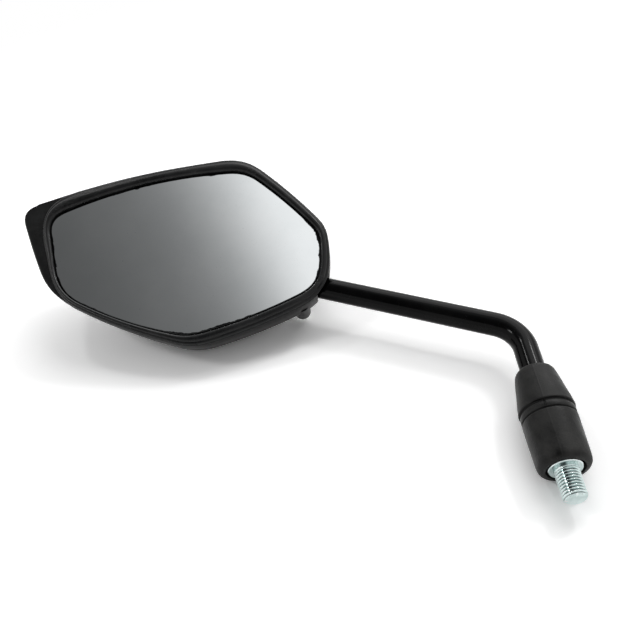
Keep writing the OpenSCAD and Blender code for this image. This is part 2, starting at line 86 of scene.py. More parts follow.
# A place on the bowed side after a corner, and the side's direction there
def sideAt(corners, bows, i, t):
    a, b = corners[i], corners[(i + 1) % len(corners)]
    along = b - a
    middle = (a + b) / 2 + 2 * bows[i] * Vector((-along.y, along.x))
    return (a * (1 - t) ** 2 + middle * 2 * t * (1 - t) + b * t * t,
            (middle - a) * (1 - t) + (b - middle) * t)


# A closed curve of bowed sides and rounded corners, clockwise from the front
def outline(shares, width, height, middle, bows, cuts, moves=None):
    corners = [Vector((x * width / 2 + middle[0], z * height / 2 + middle[1])) for x, z in shares]
    if moves:
        corners = [c + Vector(m) for c, m in zip(corners, moves)]
    n = len(corners)
    cuts = [c * height / 2 for c in cuts]
    full, points = head["fullness"], []
    for i in range(n):
        before = (corners[i] - corners[i - 1]).length
        after = (corners[(i + 1) % n] - corners[i]).length
        start, end = cuts[i] / after, 1 - cuts[(i + 1) % n] / after
        a, u = sideAt(corners, bows, i - 1 if i else n - 1, 1 - cuts[i] / before)
        b, w = sideAt(corners, bows, i, start)
        x = a + u * ((b - a).cross(w) / u.cross(w))
        p, q = a.lerp(x, full), b.lerp(x, full)
        points += [cubic(a, p, q, b, j / head["cornerSteps"]) for j in range(head["cornerSteps"])]
        points += [sideAt(corners, bows, i, start + (end - start) * j / head["sideSteps"])[0]
                   for j in range(head["sideSteps"])]
    return points


def inwards(line):
    n = len(line)
    alongs = [(line[(i + 1) % n] - line[i - 1]).normalized() for i in range(n)]
    return [Vector((a.y, -a.x)) for a in alongs]


def inset(line, distance):
    return [p + distance * d for p, d in zip(line, inwards(line))]


# A line moved outwards wherever it would lie inside another
def outsideOf(line, other):
    return [p - max(0, (p - q).dot(d)) * d for p, q, d in zip(line, other, inwards(other))]


def crownAt(point):
    r = head["crown"]
    away = (point - Vector(head["middle"])).length
    return math.sqrt(r * r - head["crownReach"] ** 2) - math.sqrt(r * r - away * away)


def atDepth(line, depth):
    return [Vector((p.x, depth + crownAt(p), p.y)) for p in line]


# The finer curves are drawn in by a hair, so that they stay inside the coarser CAD outlines
bezelLine = inset(outline(head["corners"], head["width"], head["height"], head["middle"], head["bow"],
                          head["cut"]), head["hair"])
shellLine = inset(outline(head["corners"], head["width"], head["height"], head["middle"], head["shellBow"],
                          head["shellCut"], head["wing"]), head["hair"])
shellLine = outsideOf(shellLine, bezelLine)
glassLine = outline(head["glassCorners"], head["glassWidth"], head["glassHeight"], head["glassMiddle"],
                    head["glassBow"], head["glassCut"])


# Loops of points that grow into skins
def startLoop(bm, points):
    verts = bmesh.ops.create_circle(bm, segments=len(points), radius=1)["verts"]
    for v, p in zip(verts, points):
        v.co = p
    return verts


def growLoop(bm, loop, points):
    n = len(loop)
    edges = [bm.edges.get((loop[i], loop[(i + 1) % n])) for i in range(n)]
    made = bmesh.ops.extrude_edge_only(bm, edges=edges)["geom"]
    fresh = {v for v in made if isinstance(v, bmesh.types.BMVert)}
    grown = []
    for v, p in zip(loop, points):
        twin = next(e.other_vert(v) for e in v.link_edges if e.other_vert(v) in fresh)
        twin.co = p
        grown.append(twin)
    return grown


def reopen(obj):
    bm = bmesh.new()
    bm.from_mesh(obj.data)
    bpy.data.objects.remove(obj)
    return bm


def capLoop(bm, loop):
    face = bmesh.ops.contextual_create(bm, geom=loop)["faces"]
    bmesh.ops.poke(bm, faces=face)


def skin(bm, loops, closed=False):
    rows = [startLoop(bm, loops[0])]
    for points in loops[1:]:
        rows.append(growLoop(bm, rows[-1], points))
    first, last = rows[0], rows[-1]
    if closed:
        n = len(first)
        edges = [bm.edges.get((l[i], l[(i + 1) % n])) for l in (first, last) for i in range(n)]
        bmesh.ops.bridge_loops(bm, edges=edges)
    else:
        capLoop(bm, first)
        capLoop(bm, last)
    bmesh.ops.recalc_face_normals(bm, faces=bm.faces)
    return rows


def lathe(bm, profile, steps=96, closed=True):
    verts = [bm.verts.new((r, 0, z)) for r, z in profile]
    n = len(verts)
    edges = [bm.edges.new((verts[i], verts[(i + 1) % n])) for i in range(n if closed else n - 1)]
    bmesh.ops.spin(bm, geom=verts + edges, cent=(0, 0, 0), axis=(0, 0, 1), angle=2 * math.pi,
                   steps=steps, use_merge=True)
    bmesh.ops.remove_doubles(bm, verts=bm.verts, dist=1e-5)
    bmesh.ops.recalc_face_normals(bm, faces=bm.faces)


def rod(bm, radius, start, length, direction, segments=96):
    turn = {"X": Matrix.Rotation(math.pi / 2, 4, "Y"), "Y": Matrix.Rotation(-math.pi / 2, 4, "X")}[direction]
    middle = Matrix.Translation(start) @ turn @ Matrix.Translation((0, 0, length / 2))
    return bmesh.ops.create_cone(bm, cap_ends=True, segments=segments, radius1=radius, radius2=radius,
                                 depth=length, matrix=middle)["verts"]


def block(bm, low, high):
    low, high = Vector(low), Vector(high)
    size = high - low
    middle = Matrix.Translation((low + high) / 2) @ Matrix.Diagonal((*size, 1))
    return bmesh.ops.create_cube(bm, size=1, matrix=middle)["verts"]


def loose(name, bm):
    mesh = bpy.data.meshes.new(name)
    bm.to_mesh(mesh)
    bm.free()
    obj = bpy.data.objects.new(name, mesh)
    bpy.context.scene.collection.objects.link(obj)
    return obj


def carve(target, tool, how="DIFFERENCE"):
    mod = target.modifiers.new(how, "BOOLEAN")
    mod.operation, mod.solver, mod.object = how, "EXACT", tool
    graph = bpy.context.evaluated_depsgraph_get()
    mesh = bpy.data.meshes.new_from_object(target.evaluated_get(graph))
    target.modifiers.clear()
    target.data = mesh
    bpy.data.objects.remove(tool)


# Places a piece, shades it, gives it to its body and hides the CAD nodes it stands in for
def settle(name, bm, body, nodes, place=None, sharp=32):
    bmesh.ops.remove_doubles(bm, verts=bm.verts, dist=1e-5)
    bmesh.ops.transform(bm, matrix=Matrix.Scale(mm, 4) @ (place or Matrix.Identity(4)), verts=bm.verts)
    for f in bm.faces:
        f.smooth = True
    for e in bm.edges:
        if len(e.link_faces) == 2 and e.calc_face_angle(0) > math.radians(sharp):
            e.smooth = False
    obj = loose(name, bm)
    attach(obj, body)
    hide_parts(*nodes)


# The shell: a domed housing, hollow, with the ball tower, the joint pocket and the stem's slot
shell = {
    "wall": 2.3, "wallDepth": 9, "draft": 1.2, "domeDepth": 20, "domeSteps": 26, "domeTurn": 86,
    "rimWall": 1.2, "rimGap": 0.07, "rimInset": 1.2, "rimRound": 0.9, "skirtDepth": 5, "skirtRoom": 0.3,
    "towerRadius": 12.4, "towerFront": 11.5, "seatRadius": 9.4, "boreRadius": 9.55, "boreFront": 1.5,
    "pocketFloor": 4.5, "pocketRadius": 24.5, "pocketSoft": 0.8, "pastBack": 30,
    "bossRadius": 4.2, "bossDepth": 10.6, "pilotRadius": 1.6, "pilotFloor": 1.2,
    "screwRing": 19.5, "screwTurn": -60, "stemRadius": 5.5, "slotGap": 1, "slot": (50, 33),
    "slotWalls": (45, 22), "slotWallStart": 1.8, "notch": ((21, -22, -6.5), (50, 11, 6.5)),
}


def domeLoop(line, k, depth):
    a = math.radians(shell["domeTurn"] * k / shell["domeSteps"])
    s, h = math.cos(a) ** 0.8, math.sin(a) ** 0.85 if k else 0
    middle = Vector(head["backMiddle"])
    pulled = [middle + s * (p - middle) for p in line]
    return [Vector((q.x, rimDepth + shell["wallDepth"] + (1 - h) * crownAt(p) + depth * h, q.y))
            for p, q in zip(line, pulled)]


# The outline drawn in by a share of the draft, which grows towards the wing
def drafted(line, share=1.0):
    right = head["middle"][0] + head["width"] / 2
    most = share * shell["draft"]
    return [p + most * (right - p.x) / head["width"] * d for p, d in zip(line, inwards(line))]


def screwPlaces():
    for i in range(3):
        a = math.radians(shell["screwTurn"] + 120 * i)
        yield Vector((shell["screwRing"] * math.cos(a), 0, shell["screwRing"] * math.sin(a)))


def slotTool(gap, reach, depth):
    bm = bmesh.new()
    r = shell["stemRadius"] + gap
    rod(bm, r, (0, 0, 0), reach, "X")
    barrel = loose("barrel", bm)
    bm = bmesh.new()
    block(bm, (0, 0, -r + 0.002), (reach, depth, r - 0.002))
    carve(barrel, loose("way", bm), "UNION")
    barrel.data.transform(jointInHead @ Matrix.Rotation(-math.radians(joint["panNear"]), 4, "Z"))
    return barrel


def makeShell():
    bm = bmesh.new()
    front, soft = rimDepth + shell["rimGap"], shell["rimRound"]
    loops = [atDepth(inset(shellLine, shell["rimInset"]), front)]
    for turn in (0, 22, 45, 67, 90):
        a = math.radians(turn)
        loops.append(atDepth(inset(shellLine, soft * (1 - math.sin(a))), front + soft * (1 - math.cos(a))))
    loops.append(atDepth(shellLine, rimDepth + shell["skirtDepth"]))
    for t in (0.25, 0.5, 0.75):
        down = shell["skirtDepth"] + t * (shell["wallDepth"] - shell["skirtDepth"])
        loops.append(atDepth(drafted(shellLine, t ** 1.6), rimDepth + down))
    loops += [domeLoop(drafted(shellLine), k, shell["domeDepth"]) for k in range(shell["domeSteps"] + 1)]
    skin(bm, loops)
    body = loose("housing", bm)
    floor, depth = shell["pocketFloor"], shell["bossDepth"]
    for place in screwPlaces():
        bm = bmesh.new()
        rod(bm, shell["bossRadius"], place + Vector((0, floor - depth, 0)), depth, "Y", 48)
        carve(body, loose("boss", bm), "UNION")
    bm = bmesh.new()
    wall, rim = shell["wall"], shell["rimWall"]
    room, wide = inset(bezelLine, rim), inset(shellLine, wall)
    thin = outsideOf(inset(shellLine, rim), room)
    thick = rimDepth + shell["skirtDepth"] + shell["skirtRoom"]
    skin(bm, [atDepth(room, rimDepth - 3), atDepth(room, rimDepth + wall),
              atDepth(thin, rimDepth + wall + 1), atDepth(thin, thick), atDepth(wide, thick + 1)]
         + [domeLoop(inset(drafted(shellLine), wall), k, shell["domeDepth"] - wall)
            for k in range(shell["domeSteps"] + 1)])
    hollow = loose("hollow", bm)
    keep = []
    bm = bmesh.new()
    rod(bm, shell["towerRadius"], (0, -shell["towerFront"], 0), shell["towerFront"] + floor, "Y")
    keep.append(loose("tower", bm))
    bm = bmesh.new()
    rod(bm, shell["pocketRadius"] + wall, (0, floor - wall, 0), shell["pastBack"], "Y", 128)
    keep.append(loose("pocketWall", bm))
    for place in screwPlaces():
        bm = bmesh.new()
        rod(bm, shell["bossRadius"], place + Vector((0, floor - depth, 0)), depth + 1, "Y", 48)
        keep.append(loose("boss", bm))
    walls = slotTool(shell["slotGap"] + wall, *shell["slotWalls"])
    bm = bmesh.new()
    start = rimDepth + shell["skirtDepth"] + shell["slotWallStart"]
    block(bm, (0, start, -60), (60, 90, 40))  # all that lies behind the skirt
    carve(walls, loose("behind", bm), "INTERSECT")
    keep.append(walls)
    for tool in keep:
        carve(hollow, tool)
    carve(body, hollow)
    bm = bmesh.new()
    verts = rod(bm, shell["pocketRadius"], (0, floor, 0), shell["pastBack"], "Y", 128)
    low = [v for v in verts if v.co.y < floor + 1]
    edges = [e for e in bm.edges if e.verts[0] in low and e.verts[1] in low]
    bmesh.ops.bevel(bm, geom=edges, offset=shell["pocketSoft"], offset_type="OFFSET", segments=4,
                    profile=0.5, affect="EDGES", material=-1)
    carve(body, loose("pocket", bm))
    bm = bmesh.new()
    bmesh.ops.create_uvsphere(bm, u_segments=96, v_segments=48, radius=shell["seatRadius"])
    carve(body, loose("seat", bm))
    bm = bmesh.new()
    rod(bm, shell["boreRadius"], (0, -shell["boreFront"], 0), 20, "Y")
    carve(body, loose("bore", bm))
    for place in screwPlaces():
        bm = bmesh.new()
        start = place + Vector((0, floor - depth + shell["pilotFloor"], 0))
        rod(bm, shell["pilotRadius"], start, depth, "Y", 32)
        carve(body, loose("pilot", bm))
    carve(body, slotTool(shell["slotGap"], *shell["slot"]))
    bm = bmesh.new()
    block(bm, *shell["notch"])
    bmesh.ops.transform(bm, matrix=jointInHead, verts=bm.verts)
    carve(body, loose("notch", bm))
    settle("rearShell", reopen(body), "head", ["rear_shell"], headFrame)


makeShell()
print("shell made")

# The bezel: one section carried round the outline
bezel = {
    "skirtInset": 1.35, "skirt": 1.1, "skirtDepth": 5, "ledge": 4, "ledgeThick": 1.5,
    "section": [
        (0, 0.35, -0.03), (0, 0.1, -0.15), (0, 0, -0.4), (0, 0.1, -0.75), (0, 0.4, -1.05), (0.1, 0.35, -1.2),
        (0.19, 0.3, -1.3), (0.215, 0.3, -1.45), (0.235, 0.28, -1.75), (0.28, 0.2, -2.0), (0.36, 0.08, -2.2),
        (0.46, 0, -2.34), (0.56, 0, -2.35), (0.66, 0, -2.26), (0.74, 0, -2.03), (0.8, 0, -1.65),
        (0.835, 0, -1.2), (0.85, 0, -0.6)],
}


def makeBezel():
    bm = bmesh.new()
    edgeIn = [b - a for a, b in zip(bezelLine, inset(bezelLine, 1))]
    s = bezel
    section = [(a, b, rimDepth + c) for a, b, c in s["section"]] + [
        (0.86, 0, ledgeDepth), (1, s["ledge"], ledgeDepth), (1, s["ledge"], ledgeDepth + s["ledgeThick"]),
        (0, s["skirtInset"] + s["skirt"], ledgeDepth + s["ledgeThick"] + 0.2),
        (0, s["skirtInset"] + s["skirt"], rimDepth + s["skirtDepth"]),
        (0, s["skirtInset"], rimDepth + s["skirtDepth"]), (0, s["skirtInset"], rimDepth - 0.03)]
    loops = []
    for share, extra, depth in section:
        points = [a + share * (g - a) + extra * e for a, g, e in zip(bezelLine, glassLine, edgeIn)]
        loops.append(atDepth(points, depth))
    skin(bm, loops, closed=True)
    body = loose("bezel", bm)
    carve(body, slotTool(shell["slotGap"], *shell["slot"]))
    settle("frontBezel", reopen(body), "head", ["front_bezel"], headFrame)


makeBezel()
print("bezel made")

# The glass: a crowned plate with ground edges
glass = {"thick": 2, "bevel": 0.3, "rings": 40}


def makeGlass():
    bm = bmesh.new()
    middle = Vector(head["middle"])
    plan, ways = inset(glassLine, glass["bevel"]), inwards(glassLine)

    def towards(share):
        return [middle + share * (p - middle) for p in plan]

    shares = [(k + 0.35) / (glass["rings"] + 0.35) for k in range(glass["rings"] + 1)]
    front = [atDepth(towards(s), glassDepth) for s in shares]
    back = [atDepth(towards(s), glassDepth + glass["thick"]) for s in reversed(shares)]
    edge = [atDepth(glassLine, glassDepth + d) for d in (glass["bevel"], glass["thick"] - glass["bevel"])]
    fromEdge = bm.verts.layers.float.new("fromEdge")
    rows = skin(bm, front + edge + back)
    for v in bm.verts:
        v[fromEdge] = 10
    for row, share in zip(rows, shares):
        for v, p, way in zip(row, plan, ways):
            v[fromEdge] = glass["bevel"] + (1 - share) * (middle - p).dot(way)
    for row in rows[len(shares):len(shares) + 2]:
        for v in row:
            v[fromEdge] = 0
    settle("mirrorGlass", bm, "head", ["mirror_glass"], headFrame, sharp=25)


makeGlass()
print("glass made")

# The stem: leg, bend, arm, neck and ball
stem = {"radius": 5.5, "bendRadius": 19, "neckRadius": 4.5, "neckLength": 15, "ballRadius": 7.5,
        "ballFlat": 0.3, "threadRadius": 5, "tipRadius": 4.4, "threadLow": 7, "threadTop": 32.2,
        "around": 64}


def ringAt(place, radius):
    around = stem["around"]
    return [place @ Vector((radius * math.cos(2 * math.pi * i / around),
                            radius * math.sin(2 * math.pi * i / around), 0)) for i in range(around)]


def makeStem():
    s = stem
    turned = math.pi / 2 - rise
    cut = s["bendRadius"] * math.tan(turned / 2)
    bendLow = joint["legHeight"] - cut
    loops = []
    for z, r in ((s["threadLow"], s["tipRadius"]), (s["threadLow"] + 0.6, s["threadRadius"]),
                 (s["threadTop"], s["threadRadius"]), (s["threadTop"] + 0.02, s["radius"] - 0.4),
                 (s["threadTop"] + 0.4, s["radius"]), (s["threadTop"] + 10, s["radius"]),
                 (bendLow - 4, s["radius"]), (bendLow - 0.5, s["radius"])):
        loops.append(ringAt(Matrix.Translation((0, 0, z)), r))
    centre = Matrix.Translation((-s["bendRadius"], 0, bendLow))
    for k in range(29):
        turn = Matrix.Rotation(-turned * k / 28, 4, "Y")
        loops.append(ringAt(centre @ turn @ Matrix.Translation((s["bendRadius"], 0, 0)), s["radius"]))
    armFrame = centre @ Matrix.Rotation(-turned, 4, "Y") @ Matrix.Translation((s["bendRadius"], 0, 0))
    length = joint["armLength"] - cut
    neck = length - s["neckLength"]
    stations = [(0.5, s["radius"]), (4, s["radius"]), (neck - 8, s["radius"]), (neck - 3.3, s["radius"]),
                (neck - 2.9, s["radius"] - 0.06), (neck - 0.1, s["neckRadius"] + 0.05),
                (neck + 0.4, s["neckRadius"])]
    start = math.asin(s["neckRadius"] / s["ballRadius"])
    stop = math.pi - math.acos((s["ballRadius"] - s["ballFlat"]) / s["ballRadius"])
    for k in range(33):
        a = start + (stop - start) * k / 32
        stations.append((length - s["ballRadius"] * math.cos(a), s["ballRadius"] * math.sin(a)))
    loops += [ringAt(armFrame @ Matrix.Translation((0, 0, z)), r) for z, r in stations]
    bm = bmesh.new()
    skin(bm, loops)
    settle("mirrorStem", bm, "stem", ["mirror_stem"], sharp=28)


makeStem()
print("stem made")

# The stud adapter: threaded stud, washer face, hexagon with turned ends, threaded socket
adapter = {"studRadius": 5, "studLength": 13, "endRadius": 3.95, "chamfer": 0.95,
           "pitch": 1.25, "depth": 0.72, "threadSteps": 190,
           "collarRadius": 7, "collarHeight": 2.4, "collarSoft": 0.3, "flats": 13, "height": 22,
           "socket": 16, "socketRadius": 5.06, "around": 96}


# How deep a place lies in the thread: 0 on the crest, 1 in the root. The zinc's finish paints shade into the
# roots by this depth.
def grooveAt(z, angle):
    turn = (z / adapter["pitch"] - angle / (2 * math.pi)) % 1
    fade = min(1.0, max(0.0, (-z - 0.7) / 1.0))
    return fade * max(0.0, min(1.0, 1.25 * (1 - abs(2 * turn - 1)) - 0.12))


def threadRadius(z, angle):
    a = adapter
    r = a["studRadius"] - a["depth"] * grooveAt(z, angle)
    return min(r, a["studRadius"] - a["chamfer"] + (z + a["studLength"]))


def hexRadius(z, angle):
    a = adapter
    across = a["flats"] / 2
    step = math.pi / 3
    off = (angle + step / 2) % step - step / 2
    flat = across / math.cos(off)
    end = min(z - a["collarHeight"] + 0.4, a["height"] - z)
    return min(flat, across - 0.1 + end * 1.2)


def makeAdapter():
    a = adapter
    n, steps = a["around"], a["threadSteps"]
    angles = [2 * math.pi * i / n for i in range(n)]

    def ring(z, radius):
        radii = [radius(z, t) if callable(radius) else radius for t in angles]
        return [Vector((r * math.cos(t), r * math.sin(t), z)) for r, t in zip(radii, angles)]

    low, collar, top = -a["studLength"], a["collarHeight"], a["height"]
    loops = [ring(low, 1.2), ring(low, a["endRadius"])]
    loops += [ring(low + 0.001 + (-0.001 - low) * k / steps, threadRadius) for k in range(steps + 1)]
    wide, soft = a["collarRadius"], a["collarSoft"]
    loops += [ring(0, wide - soft), ring(soft, wide), ring(collar - soft, wide), ring(collar, wide - soft)]
    loops += [ring(collar + up, hexRadius) for up in (0.05, 0.4, 0.8, 1.2)]
    loops += [ring(top - down, hexRadius) for down in (1.6, 1.2, 0.8, 0.4, 0)]
    bore, floor = a["socketRadius"], top - a["socket"]
    loops += [ring(top, 5.6), ring(top - 0.5, bore), ring(floor + 0.4, bore)]
    loops += [ring(floor, 4.6), ring(floor, 1)]
    bm = bmesh.new()
    # The groove depth goes onto the thread's vertices, for the painted shade in its roots
    inGroove = bm.verts.layers.float.new("inGroove")
    rows = skin(bm, loops)
    for row in rows[2:steps + 3]:
        for v, t in zip(row, angles):
            v[inGroove] = grooveAt(v.co.z, t)
    settle("studAdapter", bm, "adapter", ["stud_adapter"], sharp=38)


makeAdapter()
print("adapter made")

# The rubber boot
boot = {
    "profile": [
        (8, 0), (8.6, 0), (9.3, 0.12), (9.9, 0.5), (10.4, 1.05), (10.75, 1.75), (10.95, 2.6), (11.05, 3.7),
        (11.15, 7.3), (11.25, 11), (11.35, 14.7), (11.42, 18.6), (11.5, 21.5), (11.48, 21.8), (11.35, 21.95),
        (10.85, 22.1), (10.8, 22.4), (10.85, 22.7), (11.3, 22.85), (11.42, 23.1), (11.46, 24.3),
        (11.42, 25.3), (11.25, 25.55), (10.85, 25.7), (10.75, 26.15), (10.85, 26.6), (11.6, 26.75),
        (11.76, 26.9), (11.79, 27.15), (11.74, 27.5), (11.35, 30.5), (10.92, 33), (10.5, 35.2),
        (9.98, 38.6), (9.45, 41.8), (9.05, 44), (8.75, 45.3), (8.25, 46.3), (7.5, 47), (6.7, 47.35),
        (5.9, 47.45), (5.56, 47.3), (5.55, 41), (8.5, 37), (8.5, 4), (8, 2.5)],
    "seams": (-101, 79), "seamHalf": 1.6, "ridge": 0.11, "outside": 8.7,  # mould seams, in degrees
    "nick": (22.9, 26.2), "nickHalf": 2, "nickDepth": 0.45,
}


def makeBoot():
    b = boot
    bm = bmesh.new()
    lathe(bm, b["profile"], 288)
    for v in bm.verts:
        r = math.hypot(v.co.x, v.co.y)
        if r < b["outside"] and v.co.z < 40:
            continue
        turn = math.degrees(math.atan2(v.co.y, v.co.x))
        away = min(abs(math.remainder(turn - seam, 360)) for seam in b["seams"])
        ridge = b["ridge"] * max(0, 1 - away / b["seamHalf"])
        nick = away < b["nickHalf"] and b["nick"][0] < v.co.z < b["nick"][1]
        grown = (r + ridge - (b["nickDepth"] if nick else 0)) / r
        v.co.x, v.co.y = v.co.x * grown, v.co.y * grown
    settle("rubberBoot", bm, "boot", ["rubber_boot"], sharp=50)


makeBoot()
print("boot made")


# The clamp screws: pan heads with a cross recess
screw = {"radius": 1.55, "length": 12, "headRadius": 3.7, "headHeight": 2.6, "slotWide": 0.95, "slotLong": 4,
         "slotDeep": 1.5, "washer": 0.9, "thread": 0.7}


def makeScrew(number, place):
    s = screw
    r, h = s["headRadius"], s["headHeight"]
    profile = [(0, -s["length"]), (s["radius"] - 0.7, -s["length"]), (s["radius"], -s["length"] + 1.6)]
    turns = int((s["length"] - 3) / s["thread"])
    for k in range(turns):
        z = -s["length"] + 1.7 + k * s["thread"]
        profile += [(s["radius"] - 0.25, z), (s["radius"], z + 0.3), (s["radius"] - 0.25, z + 0.6)]
    profile += [(s["radius"], -1), (s["radius"], 0), (r - 0.2, 0), (r, 0.2), (r, h * 0.4),
                (r - 0.15, h * 0.6), (r - 0.55, h * 0.8), (r - 1.1, h * 0.91), (r - 1.9, h * 0.98),
                (0.8, h), (0, h)]
    bm = bmesh.new()
    lathe(bm, profile, 64, closed=False)
    body = loose("pin", bm)
    for turn in (0, math.pi / 2):
        bm = bmesh.new()
        verts = block(bm, (-s["slotWide"] / 2, -s["slotLong"] / 2, h - s["slotDeep"]),
                      (s["slotWide"] / 2, s["slotLong"] / 2, h + 0.5))
        low = [v for v in verts if v.co.z < h]
        bmesh.ops.scale(bm, vec=(0.6, 0.45, 1), verts=low)
        bmesh.ops.rotate(bm, matrix=Matrix.Rotation(turn + number, 3, "Z"), verts=verts)
        carve(body, loose("recess", bm))
    back = Matrix.Rotation(-math.pi / 2, 4, "X")
    out = shell["pocketFloor"] + retainer["thick"] + s["washer"]
    settle(f"clampScrew{number}", reopen(body), "head", [f"clamp_screw_{number}"],
           headFrame @ Matrix.Translation(place + Vector((0, out, 0))) @ back, sharp=30)


# The ball retainer: a pressed cap with three ears
retainer = {"thick": 2, "flange": 12.8, "earRadius": 4.2, "strapInset": 0.75, "hole": 2.3, "drain": 1.6,
            "soft": 0.35}


def makeRetainer():
    t, floor, inner = retainer["thick"], shell["pocketFloor"], shell["seatRadius"]
    outer, flange = inner + t, retainer["flange"]
    start, stop = math.asin(floor / inner), math.acos(retainer["drain"] / inner)
    inside = [(inner * math.cos(a), inner * math.sin(a))
              for a in (start + (stop - start) * k / 16 for k in range(17))]
    low, high = math.asin((floor + t) / outer), math.acos(retainer["drain"] / outer)
    outside = [(outer * math.cos(a), outer * math.sin(a))
               for a in (high + (low + 0.06 - high) * k / 16 for k in range(17))]
    soft = retainer["soft"]
    bm = bmesh.new()
    rim = [(outside[-1][0] + soft, floor + t), (flange - soft, floor + t), (flange, floor + t - soft),
           (flange, floor + soft), (flange - soft, floor)]
    lathe(bm, inside + outside + rim)
    bmesh.ops.rotate(bm, matrix=Matrix.Rotation(-math.pi / 2, 3, "X"), verts=bm.verts)
    body = loose("cap", bm)
    for place in screwPlaces():
        turn = math.atan2(place.z, place.x)
        ear = retainer["earRadius"]
        bm = bmesh.new()
        rod(bm, ear, (0, floor, 0), t, "Y", 64)
        rims = [e for e in bm.edges if abs(e.verts[0].co.y - e.verts[1].co.y) < 0.01]
        bmesh.ops.bevel(bm, geom=rims, offset=soft, offset_type="OFFSET", segments=3, profile=0.5,
                        affect="EDGES", material=-1)
        bmesh.ops.translate(bm, vec=place, verts=bm.verts)
        carve(body, loose("ear", bm), "UNION")
        bm = bmesh.new()
        half = ear - retainer["strapInset"]
        block(bm, (inner + 0.4, floor + 0.01, -half), (shell["screwRing"] - 2.6, floor + t - 0.01, half))
        bmesh.ops.rotate(bm, matrix=Matrix.Rotation(-turn, 3, "Y"), verts=bm.verts)
        carve(body, loose("strap", bm), "UNION")
        bm = bmesh.new()
        rod(bm, retainer["hole"], place + Vector((0, floor - 1, 0)), t + 2, "Y", 48)
        carve(body, loose("hole", bm))
    settle("ballRetainer", reopen(body), "head", ["ball_retainer"], headFrame, sharp=30)


for i, place in enumerate(screwPlaces()):
    makeScrew(i + 1, place)
makeRetainer()
print("retainer and screws made")


# Effects that several finishes share, each one a node group
def effect(name, takes, gives):
    group = bpy.data.node_groups.new(name, "ShaderNodeTree")
    kinds = {"value": "NodeSocketFloat", "colour": "NodeSocketColor"}
    for label, kind, start in takes:
        group.interface.new_socket(name=label, in_out="INPUT", socket_type=kinds[kind]).default_value = start
    for label, kind in gives:
        group.interface.new_socket(name=label, in_out="OUTPUT", socket_type=kinds[kind])
    return group, group.nodes.new("NodeGroupInput"), group.nodes.new("NodeGroupOutput")


# Links a socket to another one, or else sets its value
def feed(tree, socket, value):
    if isinstance(value, bpy.types.NodeSocket):
        tree.links.new(value, socket)
    else:
        socket.default_value = value


def add(tree, kind, settings=None, **sockets):
    node = tree.nodes.new(kind)
    for key, value in (settings or {}).items():
        setattr(node, key, value)
    for key, value in sockets.items():
        feed(tree, node.inputs[key], value)
    return node


def noise(tree, place, scale, detail, rough=0.5):
    node = add(tree, "ShaderNodeTexNoise", Vector=place, Scale=scale, Detail=detail, Roughness=rough)
    return node.outputs["Fac"]


def spread(tree, value, low, high, newLow=0.0, newHigh=1.0):
    node = tree.nodes.new("ShaderNodeMapRange")
    node.interpolation_type = "SMOOTHSTEP"
    for socket, v in zip(node.inputs, (value, low, high, newLow, newHigh)):
        feed(tree, socket, v)
    return node.outputs[0]


def sum2(tree, how, a, b):
    node = add(tree, "ShaderNodeMath", {"operation": how})
    for socket, v in zip(node.inputs, (a, b)):
        feed(tree, socket, v)
    return node.outputs[0]


def blend(tree, share, a, b):
    node = add(tree, "ShaderNodeMix", {"data_type": "RGBA"})
    for k, v in ((0, share), (6, a), (7, b)):
        feed(tree, node.inputs[k], (*v, 1) if isinstance(v, tuple) else v)
    return node.outputs[2]


def mixShaders(tree, share, a, b):
    node = tree.nodes.new("ShaderNodeMixShader")
    for socket, v in zip(node.inputs, (share, a, b)):
        feed(tree, socket, v)
    return node.outputs[0]


def objectPlace(tree, stretch=(1, 1, 1), turn=(0, 0, 0)):
    place = tree.nodes.new("ShaderNodeTexCoord").outputs["Object"]
    node = add(tree, "ShaderNodeMapping", Vector=place, Scale=stretch, Rotation=turn)
    return node.outputs[0]


# Noise scales per metre of the shared effects, the colour of dust and how strongly the marks show, and for
# the painted shade in thread roots the groove depths it spans and how far it darkens
marksAndShade = {"rubbed": 420, "film": 45, "specks": 900, "speckPatches": 70, "scratchPatches": 85,
         "dust": (0.13, 0.125, 0.115), "dustRough": 0.3, "lineShade": 0.5, "lineRough": 0.12,
         "rootDepth": (0.45, 1.0), "rootShade": (0.0, 0.88)}


# Soft cloudy variation between two colours
def makeMottle():
    takes = [("Scale", "value", 60), ("Dark", "colour", (0, 0, 0, 1)), ("Light", "colour", (1, 1, 1, 1))]
    group, start, end = effect("mottle", takes, [("Colour", "colour"), ("Cloud", "value")])
    place = objectPlace(group)
    cloud = spread(group, noise(group, place, start.outputs["Scale"], 6, 0.6), 0.3, 0.7)
    group.links.new(blend(group, cloud, start.outputs["Dark"], start.outputs["Light"]), end.inputs["Colour"])
    group.links.new(cloud, end.inputs["Cloud"])
    return group


# Fine moulded grain: small cells softened by noise
def makeGrain():
    takes = [("Scale", "value", 1500), ("Cells", "value", 0.5)]
    group, start, end = effect("grain", takes, [("Height", "value")])
    place = objectPlace(group)
    scale = start.outputs["Scale"]
    cells = add(group, "ShaderNodeTexVoronoi", {"feature": "SMOOTH_F1"}, Vector=place, Scale=scale,
                Smoothness=0.6)
    fine = noise(group, place, scale, 3)
    share = sum2(group, "MULTIPLY", cells.outputs["Distance"], start.outputs["Cells"])
    group.links.new(sum2(group, "ADD", fine, share), end.inputs["Height"])
    return group


# Edges that handling has rubbed brighter
def makeRubbing():
    group, start, end = effect("rubbedEdges", [("Amount", "value", 0.5)], [("Mask", "value")])
    edge = group.nodes.new("ShaderNodeNewGeometry").outputs["Pointiness"]
    broken = spread(group, noise(group, objectPlace(group), marksAndShade["rubbed"], 4), 0.35, 0.65, 0.25, 1.0)
    sharp = spread(group, edge, 0.51, 0.58)
    share = sum2(group, "MULTIPLY", sum2(group, "MULTIPLY", sharp, broken), start.outputs["Amount"])
    group.links.new(share, end.inputs["Mask"])
    return group


